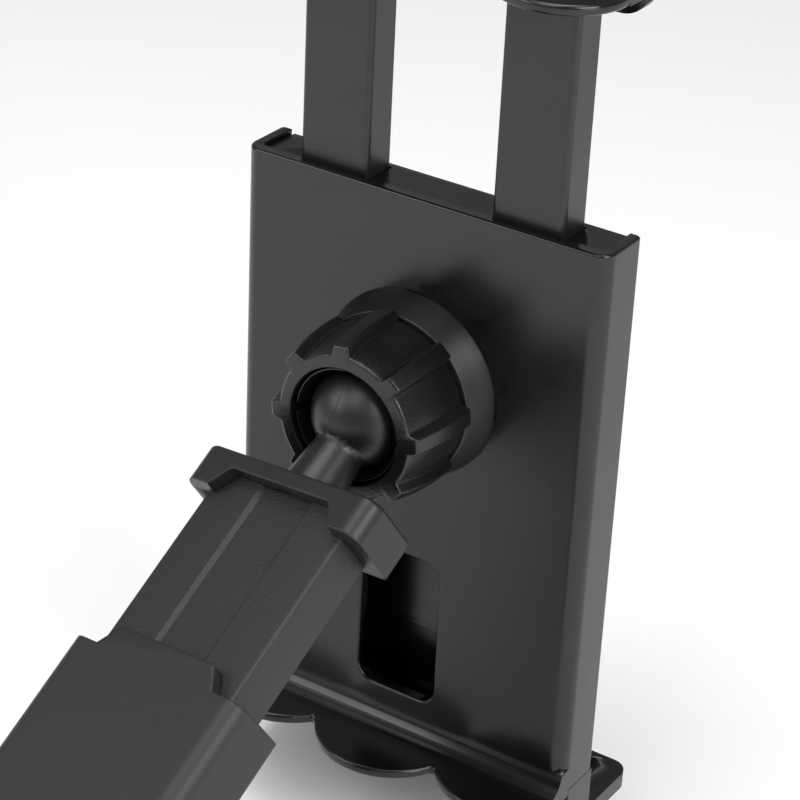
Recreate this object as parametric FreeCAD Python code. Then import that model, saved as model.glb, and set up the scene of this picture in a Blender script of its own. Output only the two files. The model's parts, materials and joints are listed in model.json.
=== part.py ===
import FreeCAD, Part
import math
import os

from FreeCAD import Placement, Rotation, Vector

# Frame: millimetres, X to the right seen from behind, Y towards the device, Z up.
# The origin is the middle of the seat pad's face, level with the ball, where the device's back rests.

# Holder body
body_width = 66.0
body_depth = 10.3
body_top = 31.4
body_bottom = -66.2
back_wall = 2.0
side_wall = 1.8
body_back_corner = 2.6
body_front_corner = 0.8
rim_round = 0.45
front_wall = 1.2
top_wall = 2.0
top_wall_recess = 0.8
shell_gap = 0.15
seat_pad_thickness = 1.7
seat_pad_inset = 12.0
seat_pad_top = 24.0
seat_pad_bottom = -54.0

# Window in the back plate
window_width = 15.0
window_top = -31.7
window_bottom = -58.9
window_corner = 3.0
window_edge_round = 0.4

# Scalloped ledge at the back of each jaw
ledge_thickness = 1.7
ledge_round = 0.6
ledge_rise = 0.4
middle_lobe_radius = 13.0
middle_lobe_reach = 13.4
side_lobe_reach = 11.1
side_lobe_outer_radius = 9.9
side_lobe_inner_radius = 14.0
notch_round = 0.8
skirt_radius = 4.0

# Jaws
jaw_wall = 3.0
jaw_throat = 9.7
jaw_lip = 3.0
jaw_lip_inset = 8.0
jaw_lip_height = 12.0
jaw_lip_corner = 5.0
jaw_inner_round = 4.0
jaw_end_round = 3.0
jaw_pad_thickness = 1.2
jaw_pad_inset = 11.0
jaw_tongue_inset = 8.0
jaw_tongue_height = 2.2
jaw_hollow_wall = 2.2
jaw_rib_x = 12.5
jaw_rib_thickness = 1.6
lower_grip = -73.2
upper_grip = 70.9
upper_jaw_height = 11.6
upper_jaw_back_inset = 6.5
upper_ledge_drop = 0.5
lower_jaw_ramp_top = -71.2
lower_jaw_ramp_foot = -3.5

# Rails
rail_width = 12.7
rail_inset = 9.0
rail_depth = 6.5
rail_gap = 0.3
rail_bottom = -27.0
rail_socket = 6.0
rail_back_round = 1.0
rail_front_round = 0.3
channel_width = 8.7
channel_floor = 2.0
rail_foot = 6.0
rail_guide_width = 1.0
rail_guide_height = 2.5
rail_guide_inset = 4.5
bridge_thickness = 2.0
bridge_depth = 4.5

# Springs in the rails
spring_radius = 2.0
spring_wire = 0.5
spring_turns = 10
spring_seat_gap = 0.3
spring_stop = 26.0

# Ball joint
ball_radius = 8.5
ball_height = 12.4
ball_clearance = 0.1
cup_thickness = 0.8
cup_half_angle = 48.0
lip_angle = 72.0
grip_band = 0.83

# Socket drum and split collet
drum_radius = 15.8
drum_front_radius = 13.8
drum_height = 5.2
drum_foot = 0.5
drum_round = 0.3
spigot_radius = 5.0
collet_radius = 11.0
collet_cone_start = 12.5
collet_front_radius = 9.35
collet_height = 17.8
collet_mouth_radius = 9.1
collet_rim = 0.4
slit_width = 1.6
slit_bottom = 9.0
slit_count = 4

# Locking nut
nut_gap = 0.3
nut_height = 13.2
nut_clearance = 0.1
nut_mouth_radius = 9.75
nut_mouth_depth = 1.9
nut_mouth_bevel = 0.15
rib_count = 8
rib_first_angle = 4.5
rib_back_radius = 14.9
rib_front_radius = 13.5
valley_back_radius = 13.3
valley_front_radius = 11.9
rib_tip_half_angle = 5.6
rib_root_half_angle = 8.8
nut_bevel = 0.4

# Pose of the arm, turned about the ball: pan about Z, tilt about X, roll about its own length
arm_pan = -3.65
arm_tilt = 33.0
arm_roll = -9.1

# Sliding bar, distances along the arm measured from the ball's centre
bar_width = 28.2
bar_thickness = 8.2
bar_corner = 0.5
bar_end = 96.0
bar_band_width = 10.8
bar_band_depth = 1.15
bar_solid_length = 12.0
bar_hollow_width = 22.0
bar_hollow_height = 2.8
shoe_length = 4.0
shoe_spigot = 10.0
shoe_side_gap = 0.3

# Arm section shared by the sleeve and the end cap
arm_width = 36.0
arm_thickness = 12.4
arm_lift = 0.5
arm_top_round = 3.0
arm_bottom_round = 1.2
sleeve_mouth = 52.6
sleeve_end = 137.0
sleeve_clearance = 0.35
collar_length = 17.0
tongue_length = 3.8
tongue_top_width = 20.4
tongue_root_width = 25.2
tongue_corner = 1.0
tongue_gap = 0.3
plug_depth = 6.0
plug_flange = 2.5

# Arm end cap and ball stud
cap_start = 16.0
cap_end = 22.7
cap_wall = 1.6
cap_edge_round = 0.7
cap_fit = 0.05
neck_ball_radius = 4.1
neck_cap_radius = 4.9
foot_width = 18.0
foot_height = 4.6
foot_gap = 0.1
foot_thickness = 2.0

# Screws
screw_radius = 1.15
screw_head_radius = 2.1
screw_head_height = 1.3
screw_fit = 0.05
pin_radius = 1.0
post_radius = 2.5
post_inset = 5.3
post_top = 22.0
post_low = -50.0
jaw_screw_inset = 4.8
jaw_screw_length = 11.0
jaw_screw_recess = 8.6
case_screw_length = 6.2
case_screw_recess = 0.5
socket_screw_circle = 7.6
socket_screw_length = 6.0
rail_screw_length = 7.0
cap_pin_x = 11.6
cap_pin_length = 6.0
plug_pin_x = 9.0
plug_pin_length = 5.0

# Places worked out from the sizes above
half_width = body_width / 2
rail_inner_x = half_width - rail_inset - rail_width
post_x = half_width - post_inset
jaw_screw_x = half_width - jaw_screw_inset
side_lobe_x = half_width - side_lobe_outer_radius
front_y = -seat_pad_thickness
back_y = front_y - body_depth
inner_back_y = back_y + back_wall
front_inner_y = front_y - front_wall
rail_back_y = inner_back_y + rail_gap
rail_front_y = rail_back_y + rail_depth
channel_back_y = rail_back_y + channel_floor
spring_y = (channel_back_y + rail_front_y) / 2
rail_middle_x = rail_inner_x + rail_width / 2
ball_y = back_y - ball_height
lip_y = jaw_throat
jaw_front_y = jaw_throat + jaw_lip
lower_floor = lower_grip - jaw_pad_thickness
lower_jaw_bottom = lower_floor - jaw_wall
lower_ledge_top = body_bottom + ledge_rise
lower_ledge_bottom = lower_ledge_top - ledge_thickness
apron_y = back_y + body_back_corner
jaw_back_y = apron_y + shell_gap
upper_floor = upper_grip + jaw_pad_thickness
upper_ledge_bottom = upper_grip - upper_ledge_drop
upper_jaw_top = upper_ledge_bottom + upper_jaw_height
rail_top = upper_ledge_bottom + rail_socket
socket_hole = spigot_radius + ball_clearance
nut_back = drum_height + nut_gap
nut_front = nut_back + nut_height
bore_half_width = bar_width / 2 + sleeve_clearance
bore_half_height = bar_thickness / 2 + sleeve_clearance
shoe_half_width = bore_half_width + shoe_side_gap
wide_half_width = shoe_half_width + sleeve_clearance
plug_inner = sleeve_end - plug_depth
bar_start = cap_start + cap_wall + cap_fit
arm_bottom = arm_lift - arm_thickness / 2


def box(x0, x1, y0, y1, z0, z1):
    """Block between two corners."""
    return Part.makeBox(x1 - x0, y1 - y0, z1 - z0, Vector(x0, y0, z0))


def rounded_face(x0, x1, y0, y1, radii):
    """Rectangle in the XY plane whose corners, from the low one anticlockwise, have the given radii."""
    corners = [(x0, y0, 180), (x1, y0, 270), (x1, y1, 0), (x0, y1, 90)]
    edges = []
    last = None
    first = None
    for (x, y, start), r in zip(corners, radii):
        inward_x = r if x == x0 else -r
        inward_y = r if y == y0 else -r
        centre = Vector(x + inward_x, y + inward_y, 0)
        angles = [math.radians(start + turn) for turn in (0, 45, 90)]
        points = [centre + Vector(r * math.cos(a), r * math.sin(a), 0) for a in angles]
        if last is not None:
            edges.append(Part.LineSegment(last, points[0]).toShape())
        else:
            first = points[0]
        edges.append(Part.Arc(*points).toShape())
        last = points[2]
    edges.append(Part.LineSegment(last, first).toShape())
    return Part.Face(Part.Wire(edges))


def slab(x0, x1, y0, y1, z0, z1, r_back, r_front=None):
    """Block with rounded upright corners, one radius at the back and one at the front."""
    r_front = r_back if r_front is None else r_front
    face = rounded_face(x0, x1, y0, y1, (r_back, r_back, r_front, r_front))
    face.translate(Vector(0, 0, z0))
    return face.extrude(Vector(0, 0, z1 - z0))


def plate(x0, x1, y0, y1, z0, z1, r_low, r_high=None):
    """Block standing across Y with rounded corners, one radius at the bottom and one at the top."""
    r_high = r_low if r_high is None else r_high
    face = rounded_face(x0, x1, z0, z1, (r_low, r_low, r_high, r_high))
    face.rotate(Vector(0, 0, 0), Vector(1, 0, 0), 90)
    face.translate(Vector(0, y0, 0))
    return face.extrude(Vector(0, y1 - y0, 0))


def rod_y(x, z, radius, y0, y1):
    """Round bar along Y."""
    return Part.makeCylinder(radius, y1 - y0, Vector(x, y0, z), Vector(0, 1, 0))


def rod_z(x, y, radius, z0, z1):
    """Round bar along Z."""
    return Part.makeCylinder(radius, z1 - z0, Vector(x, y, z0), Vector(0, 0, 1))


def outward(height):
    """Y of a point at this height behind the back plate."""
    return back_y - height


def turned(profile):
    """Solid of revolution about the socket's axis from (radius, height behind the back plate) points."""
    points = [Vector(radius, outward(height), 0) for radius, height in profile]
    face = Part.Face(Part.makePolygon(points + points[:1]))
    return face.revolve(Vector(0, 0, 0), Vector(0, 1, 0), 360)


def rounded(shape, radius, wanted):
    """Rounds the edges that the test picks."""
    edges = [edge for edge in shape.Edges if wanted(edge)]
    return shape.makeFillet(radius, edges)


def near(a, b):
    """Equal to within a hundredth of a millimetre."""
    return abs(a - b) < 0.01


def flat_at_z(edge, z):
    """The edge lies level at this height."""
    return near(edge.BoundBox.ZMin, z) and near(edge.BoundBox.ZMax, z)


def flat_at_y(edge, y):
    """The edge lies in the plane across Y at this place."""
    return near(edge.BoundBox.YMin, y) and near(edge.BoundBox.YMax, y)


def mirrored(shape):
    """The same piece on the other side of the middle plane."""
    return shape.mirror(Vector(0, 0, 0), Vector(1, 0, 0))


def posed(shape):
    """Takes a piece from the arm's own frame, ball at the origin and arm along -Y, to the holder's frame."""
    turn = Rotation(Vector(0, 0, 1), arm_pan)
    turn = turn.multiply(Rotation(Vector(1, 0, 0), arm_tilt))
    turn = turn.multiply(Rotation(Vector(0, 1, 0), arm_roll))
    placed = shape.copy()
    placed.Placement = Placement(Vector(0, ball_y, 0), turn).multiply(placed.Placement)
    return placed


def screw(length):
    """Pan-head screw standing on Z = 0 under its head, shank down, with a cross in the head."""
    rim = screw_head_height * 0.6
    top_radius = screw_head_radius * 0.75
    crown = Part.makeCone(screw_head_radius, top_radius, screw_head_height - rim, Vector(0, 0, rim))
    head = Part.makeCylinder(screw_head_radius, rim).fuse(crown)
    shank = Part.makeCylinder(screw_radius, length, Vector(0, 0, 0), Vector(0, 0, -1))
    arm = screw_head_radius * 0.6
    slot = screw_head_radius * 0.14
    depth = screw_head_height * 0.55
    top = screw_head_height
    cross = box(-arm, arm, -slot, slot, top - depth, top).fuse(box(-slot, slot, -arm, arm, top - depth, top))
    return head.fuse(shank).cut(cross)


def screw_at(place, direction, length):
    """Screw with its head's seat at a place, head towards the given direction."""
    piece = screw(length)
    piece.Placement = Placement(place, Rotation(Vector(0, 0, 1), direction))
    return piece


def screw_hole(place, direction, length, access):
    """Room for that screw: its shank below the seat and its head, up to the access length, above it."""
    back = Vector(direction).multiply(-(length + screw_fit))
    shank = Part.makeCylinder(screw_radius + screw_fit, length + screw_fit, place + back, direction)
    head = Part.makeCylinder(screw_head_radius + shell_gap, access, place, direction)
    return shank.fuse(head)


def pin(place, length, grow=0.0):
    """Cross pin of the arm, from its lower end upwards."""
    return Part.makeCylinder(pin_radius + grow, length, place, Vector(0, 0, 1))


def several(shapes):
    """Like pieces kept as separate solids of one node."""
    return Part.makeCompound(shapes)


def lobed_prism(z0, z1):
    """Prism over the three lobes that reach out behind the back plate."""
    plan = rod_z(0, back_y + middle_lobe_radius - middle_lobe_reach, middle_lobe_radius, z0, z1)
    outer_y = back_y + side_lobe_outer_radius - side_lobe_reach
    inner_y = back_y + side_lobe_inner_radius - side_lobe_reach
    for side in (-1, 1):
        low_x, high_x = sorted((0, side * side_lobe_x))
        inner = rod_z(side * side_lobe_x, inner_y, side_lobe_inner_radius, z0, z1)
        inner = inner.common(box(low_x, high_x, back_y - side_lobe_reach - 1, back_y + 1, z0, z1))
        outer = rod_z(side * side_lobe_x, outer_y, side_lobe_outer_radius, z0, z1)
        low_x, high_x = sorted((side * side_lobe_x, side * half_width))
        plan = plan.fuse([inner, outer, box(low_x, high_x, outer_y, back_y + 1, z0, z1)])
    plan = plan.common(box(-half_width, half_width, back_y - 40, back_y, z0, z1)).removeSplitter()

    def is_notch(edge):
        bounds = edge.BoundBox
        upright = bounds.ZLength > (z1 - z0) * 0.9 and bounds.XLength < 0.01 and bounds.YLength < 0.01
        return upright and abs(bounds.XMin) < side_lobe_x - 2 and bounds.YMax < back_y - 1
    return rounded(plan, notch_round, is_notch)


def body_prism(z0, z1):
    """The body's outer outline between two levels."""
    return slab(-half_width, half_width, back_y, front_y, z0, z1, body_back_corner, body_front_corner)


def skirt():
    """Hollow curve that flares from the back plate out to the lower ledge."""
    r = skirt_radius
    fill = box(-half_width, half_width, back_y - r, back_y + body_back_corner, lower_ledge_top - 0.5,
               lower_ledge_top + r)
    scoop = Part.makeCylinder(r, body_width, Vector(-half_width, back_y - r, lower_ledge_top + r),
                              Vector(1, 0, 0))
    corner = slab(-half_width, half_width, back_y - r - 1, front_y, lower_ledge_top, lower_ledge_top + r, 0.1)
    return fill.cut(scoop).common(corner.fuse(lobed_prism(lower_ledge_top - 0.5, lower_ledge_top + r)))


def ledge(z0, z1, front):
    """Lobed ledge plate with rounded rims, carried on to a plane in front of the back plate."""
    lobes = lobed_prism(z0, z1)

    def is_rim(edge):
        return (flat_at_z(edge, z0) or flat_at_z(edge, z1)) and not flat_at_y(edge, back_y)
    lobes = rounded(lobes, ledge_round, is_rim)
    return lobes.fuse(box(-half_width, half_width, back_y, front, z0, z1))


def case_posts():
    """Places of the four screw posts inside the body."""
    return [(side * post_x, z) for side in (-1, 1) for z in (post_top, post_low)]


def back_shell():
    """Back casing: tray with a window, a socket hole, screw posts, rail guides and the flared foot."""
    inner = half_width - side_wall
    outer = body_prism(body_bottom, body_top)
    outer = rounded(outer, rim_round, lambda edge: flat_at_z(edge, body_top))
    hollow = slab(-inner, inner, inner_back_y, front_y + 1, body_bottom - 1, body_top + 1, 1.0, 0.3)
    half_window = window_width / 2
    window = plate(-half_window, half_window, back_y - 1, inner_back_y + 1, window_bottom, window_top,
                   window_corner)
    shell = outer.cut(hollow).cut(window)

    def is_window_edge(edge):
        bounds = edge.BoundBox
        in_window = bounds.ZMin > window_bottom - 0.1 and bounds.ZMax < window_top + 0.1
        return in_window and flat_at_y(edge, back_y)
    shell = rounded(shell, window_edge_round, is_window_edge)
    shell = shell.fuse([skirt(), ledge(lower_ledge_bottom, lower_ledge_top, apron_y)])
    for x, z in case_posts():
        shell = shell.fuse(rod_y(x, z, post_radius, inner_back_y - 0.5, front_inner_y))
    guide = rail_inner_x + rail_width + rail_gap
    boss_top = body_bottom + jaw_screw_length - 1
    for side in (-1, 1):
        low_x, high_x = sorted((side * guide, side * (guide + rail_guide_width)))
        shell = shell.fuse(box(low_x, high_x, inner_back_y - 0.5, rail_back_y + rail_guide_height,
                               body_bottom + rail_guide_inset, body_top - rail_guide_inset))
        x = side * jaw_screw_x
        boss = rod_z(x, jaw_screw_y(), post_radius, body_bottom, boss_top)
        web = box(x - 1, x + 1, inner_back_y - 0.5, jaw_screw_y(), body_bottom, boss_top)
        shell = shell.fuse(boss.fuse(web))
    shell = shell.cut(rod_y(0, 0, socket_hole, back_y - 1, inner_back_y + 1))
    for x, z in case_posts():
        tip = front_y - case_screw_recess - case_screw_length - screw_fit
        shell = shell.cut(rod_y(x, z, screw_radius + screw_fit, tip, front_y))
    for side in (-1, 1):
        place = Vector(side * jaw_screw_x, jaw_screw_y(), body_bottom)
        shell = shell.cut(rod_z(place.x, place.y, screw_radius + screw_fit, place.z - 1,
                                place.z + jaw_screw_length))
    for seat in socket_screw_seats():
        shell = shell.cut(rod_y(seat.x, seat.z, screw_radius + shell_gap, back_y - 1, inner_back_y + 1))
    return shell.removeSplitter()


def jaw_screw_y():
    """Depth of the screws that hold the lower jaw."""
    return front_inner_y - post_radius - 2 * shell_gap


def front_shell():
    """Front casing: plate let into the back shell's rim, with a top wall slotted for the rails."""
    inner = half_width - side_wall - shell_gap
    top = body_top - top_wall_recess
    bottom = body_bottom + shell_gap
    face = plate(-inner, inner, front_inner_y, front_y, bottom, top, 0.5)
    wall = slab(-inner, inner, inner_back_y + shell_gap, front_inner_y, top - top_wall, top, 1.0, 0.3)
    shell = face.fuse(wall)
    for side in (-1, 1):
        edges = (rail_inner_x - rail_gap, rail_inner_x + rail_width + rail_gap)
        low_x, high_x = sorted((side * edges[0], side * edges[1]))
        shell = shell.cut(box(low_x, high_x, inner_back_y - 1, front_inner_y, top - top_wall - 1, top + 1))
        middle = side * rail_middle_x
        half = channel_width / 2 - 1.5 * rail_gap
        shell = shell.fuse(box(middle - half, middle + half, channel_back_y + rail_gap, front_inner_y + 0.1,
                               spring_stop, top))
    for x, z in case_posts():
        seat = Vector(x, front_y - case_screw_recess, z)
        shell = shell.fuse(rod_y(x, z, post_radius + 0.8, front_inner_y - 0.9, front_inner_y))
        shell = shell.cut(rod_y(x, z, post_radius + shell_gap, front_inner_y - 1.0, front_inner_y))
        shell = shell.cut(screw_hole(seat, Vector(0, 1, 0), case_screw_length, 3.0))
    return shell.removeSplitter()


def case_screws():
    """Four screws through the front casing into the posts."""
    seats = [Vector(x, front_y - case_screw_recess, z) for x, z in case_posts()]
    return several([screw_at(seat, Vector(0, 1, 0), case_screw_length) for seat in seats])


def seat_pad():
    """Rubber pad on the front casing on which the device's back rests."""
    half = half_width - seat_pad_inset
    pad = plate(-half, half, front_y, 0, seat_pad_bottom, seat_pad_top, 4.0)
    return rounded(pad, 0.5, lambda edge: flat_at_y(edge, 0))


def lip(bottom, top):
    """Front lip of a jaw, between its root and its free edge."""
    half = half_width - jaw_lip_inset
    r_low, r_high = (0.5, jaw_lip_corner) if top > bottom else (jaw_lip_corner, 0.5)
    low, high = sorted((bottom, top))
    piece = plate(-half, half, lip_y, jaw_front_y, low, high, r_low, r_high)
    return rounded(piece, 0.8, lambda edge: flat_at_y(edge, jaw_front_y))


def jaw_tray(low, high):
    """Plate under a device's end, running from the jaw's back to its lip."""
    return slab(-half_width, half_width, back_y, jaw_front_y, low, high, jaw_end_round / 2, jaw_end_round)


def lower_jaw():
    """Fixed jaw: block under the body with a ramped underside, tray with a rounded inner corner, and lip."""
    top = body_bottom - shell_gap
    points = [(jaw_back_y, top), (front_y, top), (front_y, lower_floor), (jaw_front_y, lower_floor),
              (jaw_front_y, lower_jaw_bottom), (lower_jaw_ramp_foot, lower_jaw_bottom),
              (jaw_back_y, lower_jaw_ramp_top)]
    corners = [Vector(-half_width, y, z) for y, z in points]
    jaw = Part.Face(Part.makePolygon(corners + corners[:1])).extrude(Vector(body_width, 0, 0))
    jaw = jaw.common(slab(-half_width, half_width, jaw_back_y - 1, jaw_front_y, lower_jaw_bottom, top,
                          body_front_corner, jaw_end_round))
    r = jaw_inner_round
    fill = box(-half_width + 1, half_width - 1, front_y - 0.5, front_y + r, lower_floor - 0.5,
               lower_floor + r)
    scoop = Part.makeCylinder(r, body_width, Vector(-half_width, front_y + r, lower_floor + r),
                              Vector(1, 0, 0))
    jaw = jaw.fuse(fill.cut(scoop))
    jaw = jaw.fuse(lip(lower_jaw_bottom, lower_floor + jaw_lip_height))
    half = half_width - jaw_tongue_inset
    tongue_top = body_bottom + jaw_tongue_height
    jaw = jaw.fuse(slab(-half, half, jaw_back_y, rail_front_y, top - 1, tongue_top, 0.5))
    hollow_top = lower_jaw_bottom + jaw_screw_recess
    half = half_width - jaw_hollow_wall
    hollow = slab(-half, half, jaw_back_y + jaw_hollow_wall, front_y - jaw_hollow_wall, lower_jaw_bottom - 1,
                  hollow_top, 0.8)
    half = jaw_rib_thickness / 2
    for x in (-jaw_rib_x, jaw_rib_x):
        hollow = hollow.cut(box(x - half, x + half, back_y, front_y, lower_jaw_bottom - 2, hollow_top + 1))
    jaw = jaw.cut(hollow)
    for side in (-1, 1):
        place = Vector(side * jaw_screw_x, jaw_screw_y(), hollow_top)
        jaw = jaw.cut(screw_hole(place, Vector(0, 0, -1), jaw_screw_length, 2.0))
    return jaw.removeSplitter()


def lower_jaw_screws():
    """Two upright screws from the jaw's hollow into the back shell."""
    seat = lower_jaw_bottom + jaw_screw_recess
    places = [Vector(side * jaw_screw_x, jaw_screw_y(), seat) for side in (-1, 1)]
    return several([screw_at(place, Vector(0, 0, -1), jaw_screw_length) for place in places])


def jaw_pad(floor, direction):
    """Rubber strip on a jaw's tray with grip ribs across it."""
    half = half_width - jaw_pad_inset
    low, high = sorted((floor, floor + direction * jaw_pad_thickness * 0.6))
    near_y = front_y + jaw_inner_round + 0.3
    far_y = jaw_throat - 0.3
    pad = slab(-half, half, near_y, far_y, low, high, 1.0)
    ribs = int(half // 3)
    for i in range(-ribs, ribs + 1):
        low, high = sorted((floor, floor + direction * jaw_pad_thickness))
        pad = pad.fuse(slab(3 * i - 0.8, 3 * i + 0.8, near_y + 0.6, far_y - 0.6, low, high, 0.5))
    return pad.removeSplitter()


def upper_jaw():
    """Sliding jaw: lobed ledge, tray, lip, and a raised back block with sockets for the rails."""
    low = upper_ledge_bottom
    jaw = jaw_tray(low, upper_floor + jaw_wall)
    half = half_width - upper_jaw_back_inset
    block = slab(-half, half, rail_back_y - 1.8, front_y, low, upper_jaw_top, 2.0, 2.0)
    block = rounded(block, 1.2, lambda edge: flat_at_z(edge, upper_jaw_top))
    jaw = jaw.fuse(block)
    jaw = jaw.cut(box(-half_width - 1, half_width + 1, front_y, lip_y, low - 1, upper_floor))
    jaw = jaw.fuse(lip(upper_floor + jaw_wall, upper_floor - jaw_lip_height))
    trim = box(-half_width - 5, half_width + 5, back_y - 1, back_y + 1, low + ledge_thickness, low + 40)
    jaw = jaw.cut(trim).fuse(ledge(low, low + ledge_thickness, front_y))
    for side in (-1, 1):
        edges = (rail_inner_x - shell_gap, rail_inner_x + rail_width + shell_gap)
        low_x, high_x = sorted((side * edges[0], side * edges[1]))
        jaw = jaw.cut(box(low_x, high_x, rail_back_y - shell_gap, rail_front_y + shell_gap, low - 1,
                          rail_top))
        seat = Vector(side * rail_middle_x, spring_y, upper_jaw_top - screw_head_height)
        jaw = jaw.cut(screw_hole(seat, Vector(0, 0, 1), rail_screw_length, 3.0))
    return jaw.removeSplitter()


def upper_jaw_screws():
    """Two screws down through the sliding jaw into the rails' ends."""
    places = [Vector(side * rail_middle_x, spring_y, upper_jaw_top - screw_head_height) for side in (-1, 1)]
    return several([screw_at(place, Vector(0, 0, 1), rail_screw_length) for place in places])


def rail():
    """Right rail: rounded back edges, and a channel in front for the spring and its stop."""
    x0 = rail_inner_x
    x1 = rail_inner_x + rail_width
    bar = slab(x0, x1, rail_back_y, rail_front_y, rail_bottom, rail_top, rail_back_round, rail_front_round)
    half = channel_width / 2
    channel_top = upper_ledge_bottom - 2
    bar = bar.cut(box(rail_middle_x - half, rail_middle_x + half, channel_back_y, rail_front_y + 1,
                      rail_bottom + rail_foot, channel_top))
    pilot = screw_radius + screw_fit
    seat = upper_jaw_top - screw_head_height
    bar = bar.cut(rod_z(rail_middle_x, spring_y, pilot, seat - rail_screw_length - screw_fit, rail_top + 1))
    bar = bar.cut(rod_z(rail_middle_x, spring_y, pilot, rail_bottom - 1, rail_bottom + rail_foot - 0.5))
    return bar


def rail_bridge():
    """Crossbar that ties the lower ends of the two rails together."""
    half = rail_inner_x + rail_width - 0.3
    low = rail_bottom - bridge_thickness
    bar = slab(-half, half, rail_front_y - bridge_depth, rail_front_y, low, rail_bottom, 0.8)
    for side in (-1, 1):
        x = side * rail_middle_x
        bar = bar.cut(rod_z(x, spring_y, screw_radius + screw_fit, low - 1, rail_bottom + 1))
    return bar


def bridge_screws():
    """Two screws up through the crossbar into the rails' feet."""
    low = rail_bottom - bridge_thickness
    length = bridge_thickness + rail_foot - 1.0
    places = [Vector(side * rail_middle_x, spring_y, low) for side in (-1, 1)]
    return several([screw_at(place, Vector(0, 0, -1), length) for place in places])


def spring():
    """Right closing spring, a wound wire between the rail's foot and the casing's stop."""
    wire = spring_wire / 2
    low = rail_bottom + rail_foot + spring_seat_gap + wire
    height = spring_stop - spring_seat_gap - wire - low
    helix = Part.makeHelix(height / spring_turns, height, spring_radius - wire)
    start = Vector(spring_radius - wire, 0, 0)
    circle = Part.Wire(Part.makeCircle(wire, start, Vector(0, 1, 0)))
    coil = Part.Wire(helix).makePipeShell([circle], True, True)
    coil.translate(Vector(rail_middle_x, spring_y, low))
    return coil


def ball_socket():
    """Drum on the back plate with the split collet that grips the ball."""
    lip_radius = (ball_radius + ball_clearance) * math.sin(math.radians(lip_angle))
    lip_height = ball_height + (ball_radius + ball_clearance) * math.cos(math.radians(lip_angle))
    drum = turned([(0, -back_wall), (spigot_radius, -back_wall), (spigot_radius, 0), (drum_radius, 0),
                   (drum_radius, drum_foot), (drum_front_radius, drum_height), (0, drum_height)])
    drum = rounded(drum, drum_round, lambda edge: flat_at_y(edge, outward(drum_height)))
    collet = turned([(0, drum_height - 1), (collet_radius, drum_height - 1),
                     (collet_radius, collet_cone_start), (collet_front_radius, collet_height - collet_rim),
                     (collet_front_radius, collet_height), (0, collet_height)])
    body = drum.fuse(collet)
    centre = Vector(0, ball_y, 0)
    grip = Part.makeSphere(ball_radius + ball_clearance, centre)
    room = Part.makeSphere(ball_radius + 2 * ball_clearance + cup_thickness, centre)
    deep = room.cut(box(-20, 20, outward(40), outward(ball_height - grip_band), -20, 20))
    mouth = turned([(0, lip_height), (lip_radius, lip_height), (collet_mouth_radius, collet_height),
                    (collet_mouth_radius, collet_height + 1), (0, collet_height + 1)])
    body = body.cut(grip).cut(deep).cut(mouth)
    half = slit_width / 2
    for i in range(slit_count):
        slit = box(0, 20, outward(collet_height + 1), outward(slit_bottom), -half, half)
        slit.rotate(Vector(0, 0, 0), Vector(0, 1, 0), 360 / slit_count * i)
        body = body.cut(slit)
    for seat in socket_screw_seats():
        tip = seat.y - socket_screw_length - screw_fit
        body = body.cut(rod_y(seat.x, seat.z, screw_radius + screw_fit, tip, seat.y + 1))
    return body


def socket_screw_seats():
    """Places under the heads of the socket's four screws, on the inner face of the back plate."""
    angles = [math.radians(45 + 90 * i) for i in range(4)]
    r = socket_screw_circle
    return [Vector(r * math.cos(a), inner_back_y, r * math.sin(a)) for a in angles]


def socket_screws():
    """Four screws through the back plate from inside the body into the drum."""
    return several([screw_at(seat, Vector(0, 1, 0), socket_screw_length) for seat in socket_screw_seats()])


def ribbed_outline(height, rib_radius, valley_radius):
    """Closed outline of the nut at a height: ribs and valleys as arcs joined by straight flanks."""
    y = outward(height)
    step = 360 / rib_count
    edges = []

    def point(radius, degrees):
        angle = math.radians(degrees)
        return Vector(radius * math.cos(angle), y, radius * math.sin(angle))
    for i in range(rib_count):
        middle = rib_first_angle + step * i
        tip_end = middle + rib_tip_half_angle
        root = middle + rib_root_half_angle
        next_root = middle + step - rib_root_half_angle
        tip_arc = Part.Arc(point(rib_radius, middle - rib_tip_half_angle), point(rib_radius, middle),
                           point(rib_radius, tip_end))
        valley_arc = Part.Arc(point(valley_radius, root), point(valley_radius, middle + step / 2),
                              point(valley_radius, next_root))
        edges.append(tip_arc.toShape())
        edges.append(Part.LineSegment(point(rib_radius, tip_end), point(valley_radius, root)).toShape())
        edges.append(valley_arc.toShape())
        edges.append(Part.LineSegment(point(valley_radius, next_root),
                                      point(rib_radius, middle + step - rib_tip_half_angle)).toShape())
    return Part.Wire(edges)


def lock_nut():
    """Tapered nut with bevelled grip ribs, bored to run over the collet and close its fingers."""
    outlines = []
    bevel_share = nut_bevel / nut_height
    for share, inset in ((0, nut_bevel), (bevel_share, 0), (1 - bevel_share, 0), (1, nut_bevel)):
        rib = rib_back_radius + (rib_front_radius - rib_back_radius) * share - inset
        valley = valley_back_radius + (valley_front_radius - valley_back_radius) * share - inset
        outlines.append(ribbed_outline(nut_back + nut_height * share, rib, valley))
    body = Part.makeLoft(outlines, True, True)
    mouth = nut_mouth_radius
    throat = nut_front - nut_mouth_depth
    cone_share = (throat - collet_cone_start) / (collet_height - collet_rim - collet_cone_start)
    cone_radius = collet_radius + (collet_front_radius - collet_radius) * cone_share
    bore = turned([(0, nut_back - 1), (collet_radius + nut_clearance, nut_back - 1),
                   (collet_radius + nut_clearance, collet_cone_start),
                   (cone_radius + nut_clearance, throat),
                   (mouth, throat), (mouth, nut_front - nut_mouth_bevel),
                   (mouth + nut_mouth_bevel, nut_front), (mouth + nut_mouth_bevel, nut_front + 1),
                   (0, nut_front + 1)])
    return body.cut(bore)


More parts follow.
